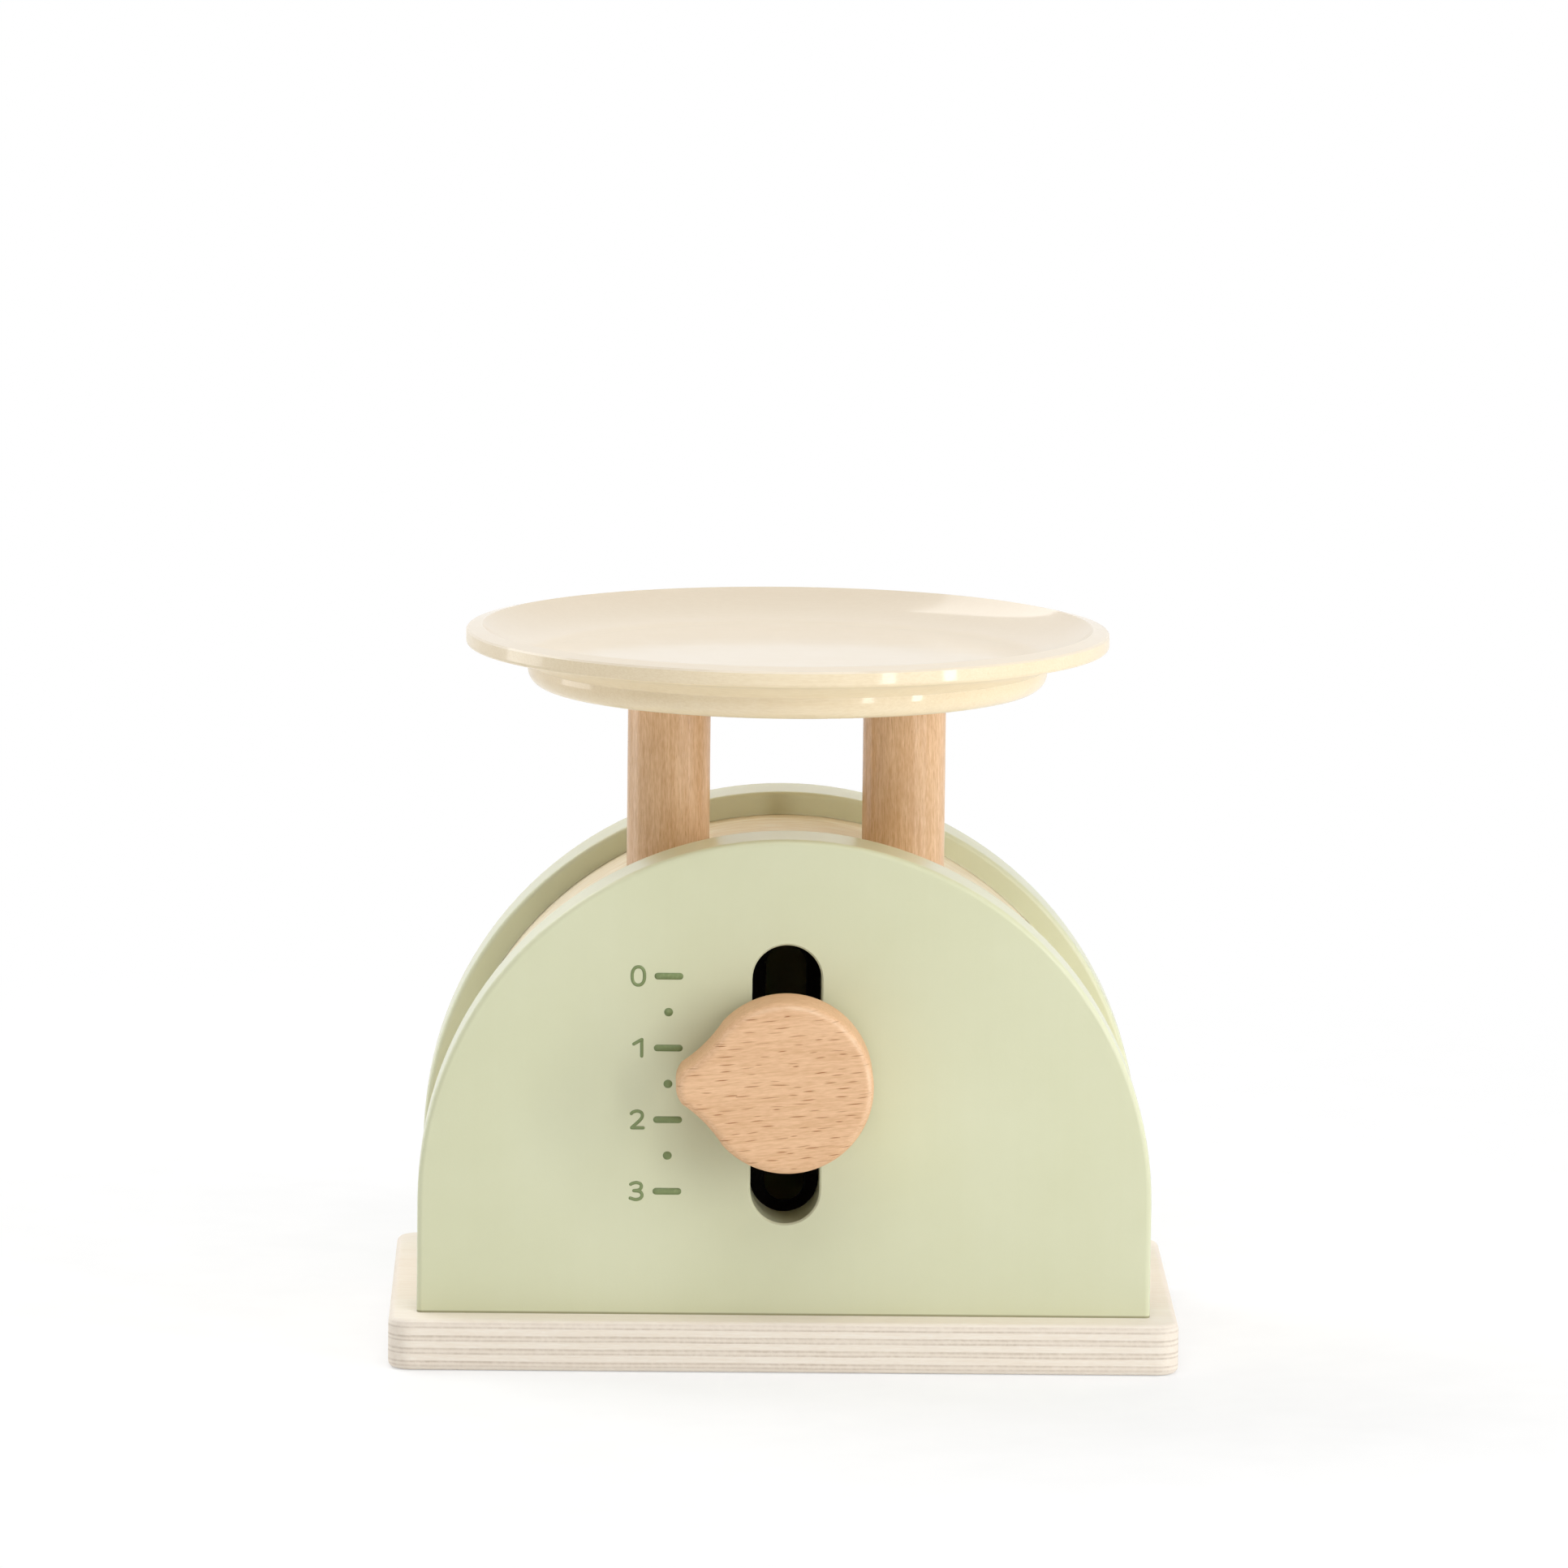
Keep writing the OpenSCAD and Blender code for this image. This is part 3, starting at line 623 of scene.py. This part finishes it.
def cream_lacquer():
    """Pale turned wood under clear gloss, with painted shade a little greyer where it faces up."""
    material, steps, shader, place = new_finish(
        "cream_lacquer", Specular_IOR_Level=0.2, Coat_Weight=0.5, Coat_Roughness=0.08, Coat_IOR=1.5)
    skin = hand_finish(steps, place, CREAM_SHEEN)
    grain = steps.group("wood grain", Coordinates=along(steps, place, "X"),
                        Ground=linear(CREAM), Streak=linear(CREAM_STREAK))
    edge_mask = steps.group("edge mask", Coordinates=place, Width=0.8 * MM)["Edge"]
    # Painted shade: the faces that look up are a little greyer
    upward = steps.split(steps.normal())["Z"]
    edge_and_slope_tone = steps.range(upward, *UP_SHADE_SLOPE, 0.0, UP_SHADE_MOST)
    wood = steps.mix(edge_and_slope_tone, grain["Colour"], linear(CREAM_SHADED_UP))
    colour = steps.mix(steps.times(edge_mask, CREAM_WEAR), wood, linear(CREAM_WORN))
    cover(steps, shader, colour, skin["Roughness"], grain["Relief"], strength=0.03, depth=0.2 * MM)
    return material


def black_felt():
    """Dull black felt with greyer hairs; the sheet also stands in for the shade inside the case."""
    material, steps, shader, place = new_finish("black_felt", Specular_IOR_Level=0.05)
    hairs = steps.noise(place, HAIR_WAVES, detail=4.0, roughness=0.7)
    tufts = steps.noise(place, TUFT_WAVES)
    nap = steps.range(steps.times(hairs, tufts), *NAP_TONES)
    colour = steps.mix(nap, linear(FELT_BLACK), linear(FELT_GREY))
    roughness = steps.range(hairs, NOISE_LOW, NOISE_HIGH, *FELT_SHEEN)
    cover(steps, shader, colour, roughness, hairs, strength=0.5, depth=0.4 * MM)
    return material


def steel():
    """Plain steel, clouded and brighter at its edges."""
    material, steps, shader, place = new_finish("steel", Metallic=1.0)
    skin = hand_finish(steps, place, STEEL_SHEEN)
    edge_mask = steps.group("edge mask", Coordinates=place, Width=0.3 * MM)["Edge"]
    dull = steps.mix(skin["Clouds"], linear(STEEL_BRIGHT), linear(STEEL_DULL))
    colour = steps.mix(edge_mask, dull, linear(STEEL_BRIGHT))
    cover(steps, shader, colour, skin["Roughness"], skin["Relief"], strength=0.08, depth=0.1 * MM)
    return material


def print_ink():
    """Green ink, a little thinner in spots, as a pad leaves it."""
    material, steps, shader, place = new_finish("print_ink", Specular_IOR_Level=0.35)
    skin = hand_finish(steps, place, INK_SHEEN)
    spots = steps.patches(place, INK_SPOT_WAVES, detail=3.0, low=0.45, high=0.75)
    thin = steps.math("MAXIMUM", spots, steps.times(skin["Clouds"], INK_CLOUDS))
    colour = steps.mix(thin, linear(PRINT_GREEN), linear(PRINT_THIN))
    cover(steps, shader, colour, skin["Roughness"], skin["Relief"], strength=0.1, depth=0.1 * MM)
    return material


# Pieces made here

def new_piece(name, verts, faces, material, sharp_angle=35.0):
    """A mesh piece of one finish, smooth but for edges that turn more than the angle."""
    mesh = bpy.data.meshes.new(name)
    mesh.from_pydata(verts, [], faces)
    mesh.materials.append(material)
    mesh.shade_smooth()
    mesh.set_sharp_from_angle(angle=math.radians(sharp_angle))
    piece = bpy.data.objects.new(name, mesh)
    bpy.context.scene.collection.objects.link(piece)
    return piece


def smooth_line(points, steps=10):
    """Points along a smooth curve through a few given points."""
    ends = [points[0] * 2 - points[1], *points, points[-1] * 2 - points[-2]]
    line = []
    for before, a, b, after in zip(ends, ends[1:], ends[2:], ends[3:]):
        for i in range(steps):
            t = i / steps
            pull = (b - before) * t + (before * 2 - a * 5 + b * 4 - after) * t ** 2
            line.append(a + (pull + (a * 3 - before - b * 3 + after) * t ** 3) / 2)
    return line + [points[-1]]


def ring_stroke(ring, width):
    """Flat stroke of a pen round a closed line: its 2-D points and faces."""
    points, faces = [], []
    count = len(ring)
    for i, p in enumerate(ring):
        ahead = (ring[(i + 1) % count] - ring[i - 1]).normalized()
        side = Vector((-ahead.y, ahead.x)) * width / 2
        points += [p + side, p - side]
        a, b = 2 * i, 2 * ((i + 1) % count)
        faces.append([a, a + 1, b + 1, b])
    return points, faces


def stroke(line, width, cap_steps=8):
    """Flat stroke of a pen along a line, with round ends: its 2-D points and faces."""
    points, faces = [], []
    for i, p in enumerate(line):
        ahead = (line[min(i + 1, len(line) - 1)] - line[max(i - 1, 0)]).normalized()
        side = Vector((-ahead.y, ahead.x)) * width / 2
        points += [p + side, p - side]
        if i:
            faces.append([2 * i - 2, 2 * i - 1, 2 * i + 1, 2 * i])
    for end, back in ((0, 1), (len(line) - 1, -1)):
        ahead = (line[end] - line[end + back]).normalized()
        side = Vector((-ahead.y, ahead.x))
        cap = [2 * end, 2 * end + 1] if back < 0 else [2 * end + 1, 2 * end]
        arc = [math.pi * k / cap_steps for k in range(1, cap_steps)]
        start = len(points)
        points += [line[end] + (side * math.cos(a) + ahead * math.sin(a)) * width / 2 for a in arc]
        faces.append([cap[1], *reversed(range(start, len(points))), cap[0]])
    return points, faces


def printed(name, strokes, material):
    """Ink on the front panel, of strokes drawn in X and Z; each lies a hair above the last."""
    face_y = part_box("front_panel")[0].y
    verts, faces = [], []
    for layer, (points, loops) in enumerate(strokes):
        start = len(verts)
        verts += [(p.x, face_y - INK_T - layer * INK_STEP, p.y) for p in points]
        faces += [[start + i for i in loop] for loop in loops]
    piece = new_piece(name, verts, faces, material)
    ink = piece.modifiers.new("ink", "SOLIDIFY")
    ink.thickness = INK_T
    ink.offset = -1.0
    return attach(piece, CASE)


def ring_line(width, height, steps=40, squareness=2.3):
    """Closed upright oval, a little squarer than an ellipse, about its middle."""
    line = []
    for i in range(steps):
        c = math.cos(math.tau * i / steps)
        s = math.sin(math.tau * i / steps)
        x = math.copysign(abs(c) ** (2 / squareness), c) * width / 2
        line.append(Vector((x, math.copysign(abs(s) ** (2 / squareness), s) * height / 2)))
    return line


def numeral_lines(number):
    """Pen lines of a plain numeral of height 1 about its middle."""
    if number == 0:
        return [ring_line(*ZERO_OVAL)]
    pens = [[Vector(p) for p in pen] for pen in NUMERAL_PENS[number]]
    return [smooth_line(pen) if len(pen) > 2 else pen for pen in pens]


def scale_marks(ink):
    """Bars and numerals at the whole marks, and a dot half way to the next."""
    zero_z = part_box("front_panel")[1].z - ZERO_MARK_DROP
    half_bar = Vector(((BAR_LENGTH - BAR_HEIGHT) / 2, 0.0))
    dab = Vector((DOT_DAB / 2, 0.0))
    for number in NUMBERS:
        level = zero_z - number * UNIT_STEP
        bar = Vector((BAR_X, level))
        printed(f"bar_{number}", [stroke([bar - half_bar, bar + half_bar], BAR_HEIGHT)], ink)
        middle = Vector((NUMERAL_X, level))
        lines = [[middle + p * NUMERAL_HEIGHT for p in line] for line in numeral_lines(number)]
        pen = stroke if number else ring_stroke
        printed(f"numeral_{number}", [pen(line, NUMERAL_STROKE) for line in lines], ink)
        if number != NUMBERS[-1]:
            centre = Vector((BAR_X, level - UNIT_STEP / 2))
            dot = stroke([centre - dab, centre + dab], DOT_D - DOT_DAB, cap_steps=16)
            printed(f"dot_{number}", [dot], ink)


def ring_faces(rings, sides):
    """Faces of a skin over rings of points, closed at its first and last ring."""
    faces = []
    for i in range(rings - 1):
        for k in range(sides):
            a, b = i * sides + k, i * sides + (k + 1) % sides
            faces.append([a, b, b + sides, a + sides])
    faces.append(list(reversed(range(sides))))
    faces.append(list(range((rings - 1) * sides, rings * sides)))
    return faces


def spring_coil(side, material, rings=28, sides=10):
    """Wound spring with closed ends, from its washer up to the foot of its post."""
    node = f"{side}_spring"
    low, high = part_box(node)
    middle = (low + high) / 2
    wire_r = SPRING_WIRE / 2
    coil_r = (high.x - low.x - SPRING_WIRE) / 2
    count = SPRING_TURNS * rings
    closed = CLOSED_TURNS * rings
    rise = high.z - low.z - SPRING_WIRE - 2 * CLOSED_TURNS * SPRING_WIRE
    verts = []
    for i in range(count + 1):
        open_share = min(max((i - closed) / (count - 2 * closed), 0.0), 1.0)
        closed_turns = (min(i, closed) + max(i - count + closed, 0)) / rings
        z = low.z + wire_r + rise * open_share + SPRING_WIRE * closed_turns
        angle = math.tau * i / rings
        outward = Vector((math.cos(angle), math.sin(angle), 0.0))
        centre = Vector((middle.x, middle.y, z)) + outward * coil_r
        for k in range(sides):
            turn = math.tau * k / sides
            down = Vector((0, 0, math.sin(turn)))
            verts.append(centre + (outward * math.cos(turn) - down) * wire_r)
    faces = ring_faces(count + 1, sides)
    piece = new_piece(f"{node}_coil", verts, faces, material, sharp_angle=60.0)
    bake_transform(piece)
    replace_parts(piece, node)


def screw_rings(shank_d, length, head_d, head_h, under_head_h, sides=48, rings_per_turn=8):
    """Rings of a screw along +Z, its head face at z = 0: cross recess, head, thread and tip."""
    shank_r, head_r = shank_d / 2, head_d / 2
    arm, half_arm = head_r * CROSS_ARM, head_r * CROSS_HALF_ARM
    angles = [math.tau * k / sides for k in range(sides)]

    def cross(angle):
        c, s = max(abs(math.cos(angle)), 1e-6), max(abs(math.sin(angle)), 1e-6)
        return max(min(arm / c, half_arm / s), min(half_arm / c, arm / s))

    def ring(z, reach):
        return [Vector((reach(a) * math.cos(a), reach(a) * math.sin(a), z)) for a in angles]

    thread_start = head_h + under_head_h
    thread_end = length - shank_d
    rings = [
        ring(head_d * CROSS_DEPTH, lambda a: cross(a) * CROSS_FLOOR),
        ring(0.0, cross),
        ring(0.0, lambda a: head_r),
        ring(head_h, lambda a: head_r),
        ring(thread_start, lambda a: shank_r),
    ]
    count = round((thread_end - thread_start) / THREAD_PITCH * rings_per_turn)
    for i in range(1, count + 1):
        turns = i / rings_per_turn

        def thread(a):
            groove = abs(((turns - a / math.tau) % 1.0) * 2 - 1)
            return shank_r - THREAD_DEPTH * min(groove * THREAD_SLOPE, 1.0)
        rings.append(ring(thread_start + (thread_end - thread_start) * i / count, thread))
    rings.append(ring(length - shank_d / 8, lambda a: shank_r / 4))
    rings.append(ring(length, lambda a: shank_r / 16))
    return rings


def screw_set(name, node, rings, places, material):
    """The screws of one node, each put in its place."""
    sides = len(rings[0])
    verts, faces = [], []
    for place in places:
        start = len(verts)
        verts += [place @ p for ring in rings for p in ring]
        faces += [[start + i for i in loop] for loop in ring_faces(len(rings), sides)]
    piece = new_piece(name, verts, faces, material, sharp_angle=30.0)
    body = CASE if node == "base_screws" else CARRIAGE
    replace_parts(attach(piece, body), node)


def screws(material):
    """Panel screws under the base, post screws in the crossbar, and the pointer's long screw."""
    low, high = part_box("base_screws")
    reach_x, reach_y = high.x - SCREW_HEAD_D / 2, high.y - SCREW_HEAD_D / 2
    cone_h = (SCREW_HEAD_D - SCREW_D) / 2
    rings = screw_rings(SCREW_D, high.z - low.z, SCREW_HEAD_D, HEAD_LAND, cone_h - HEAD_LAND)
    corners = [(x, y) for x in (-1, 1) for y in (-1, 1)]
    places = [Matrix.Translation((x * reach_x, y * reach_y, low.z)) for x, y in corners]
    screw_set("base_screw_set", "base_screws", rings, places, material)

    low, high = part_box("crossbar_screws")
    middle = (low + high) / 2
    bar_screw_l = BAR_SCREW_HEAD_D / 2 + BAR_SCREW_REACH
    cone_h = (BAR_SCREW_HEAD_D - BAR_SCREW_D) / 2
    rings = screw_rings(BAR_SCREW_D, bar_screw_l, BAR_SCREW_HEAD_D, HEAD_LAND, cone_h - HEAD_LAND)
    places = []
    for side in (-1, 1):
        inward = Matrix.Rotation(-side * math.pi / 2, 4, "Y")
        places.append(Matrix.Translation((side * high.x, middle.y, middle.z)) @ inward)
    screw_set("crossbar_screw_set", "crossbar_screws", rings, places, material)

    low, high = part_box("knob_screw")
    middle = (low + high) / 2
    rings = screw_rings(SCREW_D, high.y - low.y, SCREW_HEAD_D, SCREW_D / 2, 0.0)
    forward = Matrix.Rotation(math.pi / 2, 4, "X")
    places = [Matrix.Translation((middle.x, high.y, middle.z)) @ forward]
    screw_set("knob_screw_threaded", "knob_screw", rings, places, material)


def felt_patch(material, rings=7, points=96):
    """Felt behind the slot, glued round its edge, with a slit for the spindle and a nap behind."""
    # The black felt sheet also stands in for the shade inside the case behind the slot
    low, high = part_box("slot_felt")
    half_w = (high.x - low.x) / 2
    foot_z = low.z + half_w
    head_z = high.z - half_w

    def place(share, i):
        """Point at a share of the way from the slit to the outer edge."""
        turn = math.tau * i / points
        r = FELT_SLIT_HALF_W + (half_w - FELT_SLIT_HALF_W) * share
        over = FELT_SLIT_OVER * (1 - share)
        level = head_z + over if math.sin(turn) >= 0 else foot_z - over
        return Vector((r * math.cos(turn), 0.0, level + r * math.sin(turn)))

    front, back = [], []
    for j in range(rings):
        for i in range(points):
            p = place(j / (rings - 1), i)
            tuft = noise.noise(p * FELT_TUFTS_PER_M) * FELT_TUFT
            nap = tuft + noise.noise(p * FELT_WAVES_PER_M) * FELT_WAVE
            front.append((p.x, low.y, p.z))
            back.append((p.x, high.y - FELT_SINK - nap, p.z))
    layer = len(front)
    faces = []
    for j in range(rings - 1):
        for i in range(points):
            a, b = j * points + i, j * points + (i + 1) % points
            faces.append([a + points, b + points, b, a])
            faces.append([layer + a, layer + b, layer + b + points, layer + a + points])
    for j in (0, rings - 1):
        for i in range(points):
            a, b = j * points + i, j * points + (i + 1) % points
            loop = [a, b, layer + b, layer + a]
            faces.append(loop if j == 0 else loop[::-1])
    piece = new_piece("felt_patch", front + back, faces, material)
    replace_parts(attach(piece, CASE), "slot_felt")


# Studio

def studio_camera():
    """Camera where the photograph was taken from."""
    data = bpy.data.cameras.new("camera")
    data.lens = CAMERA_LENS
    data.sensor_width = CAMERA_SENSOR
    data.clip_end = CAMERA_REACH
    camera = bpy.data.objects.new("camera", data)
    bpy.context.scene.collection.objects.link(camera)
    yaw = Matrix.Rotation(math.radians(CAMERA_YAW), 4, "Z")
    tilt = Matrix.Rotation(math.radians(90 - CAMERA_PITCH), 4, "X")
    roll = Matrix.Rotation(math.radians(CAMERA_ROLL), 4, "Z")
    camera.matrix_world = Matrix.Translation(CAMERA_AT) @ yaw @ tilt @ roll
    bpy.context.scene.camera = camera


def soft_box(name, azimuth, elevation, distance, size, power, mirrored):
    """Area lamp that faces the scale; azimuth 0 stands in front of it and 90 on its right.

    A lamp that is not mirrored lights the scale but leaves its reflections to the white all round.
    """
    data = bpy.data.lights.new(name, "AREA")
    data.shape = "RECTANGLE"
    data.size, data.size_y = size
    data.energy = power
    lamp = bpy.data.objects.new(name, data)
    bpy.context.scene.collection.objects.link(lamp)
    a, e = math.radians(azimuth), math.radians(elevation)
    away = Vector((math.sin(a) * math.cos(e), -math.cos(a) * math.cos(e), math.sin(e)))
    middle = (cad_low + cad_high) / 2
    lamp.rotation_mode = "QUATERNION"
    lamp.rotation_quaternion = (-away).to_track_quat("-Z", "Y")
    lamp.location = middle + away * distance
    lamp.visible_camera = False
    lamp.visible_glossy = mirrored


def seen_by_camera(steps):
    """1 for a ray of the camera, or off a mirror or through glass, and 0 for light on the scene."""
    rays = steps.add("LightPath").outputs
    mirrored = steps.math("MAXIMUM", rays["Is Glossy Ray"], rays["Is Transmission Ray"])
    return steps.math("MAXIMUM", rays["Is Camera Ray"], mirrored)


def studio_world():
    """White all round to the eye, and a soft light that grows from the horizon to overhead."""
    world = bpy.data.worlds.new("studio")
    bpy.context.scene.world = world
    world.use_nodes = True
    steps = Steps(world.node_tree)
    white = world.node_tree.nodes["Background"]
    white.inputs["Color"].default_value = linear(WHITE)
    height = steps.split(steps.add("TexCoord").outputs["Generated"])["Z"]
    strength = steps.range(height, 0.0, 1.0, HORIZON_LIGHT, OVERHEAD_LIGHT)
    ambient = steps.add("Background", {"Color": linear(WHITE), "Strength": strength})
    ends = {0: seen_by_camera(steps), 1: ambient.outputs[0], 2: white.outputs[0]}
    both = steps.add("MixShader", ends)
    steps.feed(world.node_tree.nodes["World Output"].inputs["Surface"], both.outputs[0])


def studio_floor():
    """White floor that keeps a soft shadow near the scale and goes over into the white behind."""
    corners = ((-1, -1), (1, -1), (1, 1), (-1, 1))
    verts = [(x * FLOOR_HALF, y * FLOOR_HALF, FLOOR_Z) for x, y in corners]
    material = bpy.data.materials.new("floor")
    material.use_nodes = True
    tree = material.node_tree
    tree.nodes.remove(tree.nodes["Principled BSDF"])
    steps = Steps(tree)
    place = steps.add("TexCoord").outputs["Object"]
    paper = steps.mix(steps.patches(place, PAPER_WAVES), linear(PAPER), linear(PAPER_PALE))
    lit = steps.add("BsdfDiffuse", {"Color": paper}).outputs[0]
    glow = steps.add("Emission", {"Color": linear(WHITE), "Strength": 1.0}).outputs[0]
    share = steps.range(steps.length(place), VEIL_FROM, VEIL_TO, VEIL_NEAR)
    shown = steps.times(share, seen_by_camera(steps))
    surface = steps.add("MixShader", {0: shown, 1: lit, 2: glow}).outputs[0]
    steps.feed(tree.nodes["Material Output"].inputs["Surface"], surface)
    new_piece("floor", verts, [(0, 1, 2, 3)], material)


def studio():
    """Camera, white surroundings, floor and lamps."""
    bpy.context.scene.view_settings.view_transform = "Standard"
    studio_camera()
    studio_world()
    studio_floor()
    for name, setting in LAMPS.items():
        soft_box(name, *setting)


def dress_nodes():
    """Gives each solid its finish, and returns the steel for the pieces made here."""
    plain = {"light": POST_LIGHT, "streak": POST_STREAK, "slant": 0.02,
             "flecks_kept": 0.6, "fleck_size": 0.5, "fleck_depth": 0.45}
    post_wood = beech("beech_post", "Z", gloss=0.6, **plain)
    bar_wood = beech("beech_bar", "X", **plain)
    spindle_wood = beech("beech_spindle", "Y", **plain)
    knob_wood = beech("beech_knob", "X", KNOB_LIGHT, KNOB_STREAK, slant=0.09, flecks_kept=0.92,
                      fleck_size=1.0, fleck_depth=1.0, rim_wear_highlight=0.55)
    paint = sage_paint()
    metal = steel()
    finishes = {
        "base_plate": birch_ply(), "arch_cover": birch_strip(), "tray": cream_lacquer(),
        "front_panel": paint, "rear_panel": paint, "pointer_knob": knob_wood,
        "left_post": post_wood, "right_post": post_wood,
        "left_guide_pin": post_wood, "right_guide_pin": post_wood,
        "crossbar": bar_wood, "knob_spindle": spindle_wood, "knob_washer": metal,
        "left_spring_washer": metal, "right_spring_washer": metal,
    }
    for node, finish in finishes.items():
        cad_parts[node].material_slots[0].material = finish
    return metal


wood_grain_group()
wood_flecks_group()
edge_mask_group()
hand_finish_group()
studio()
metal = dress_nodes()
scale_marks(print_ink())
for side in ("left", "right"):
    spring_coil(side, metal)
screws(metal)
felt_patch(black_felt())
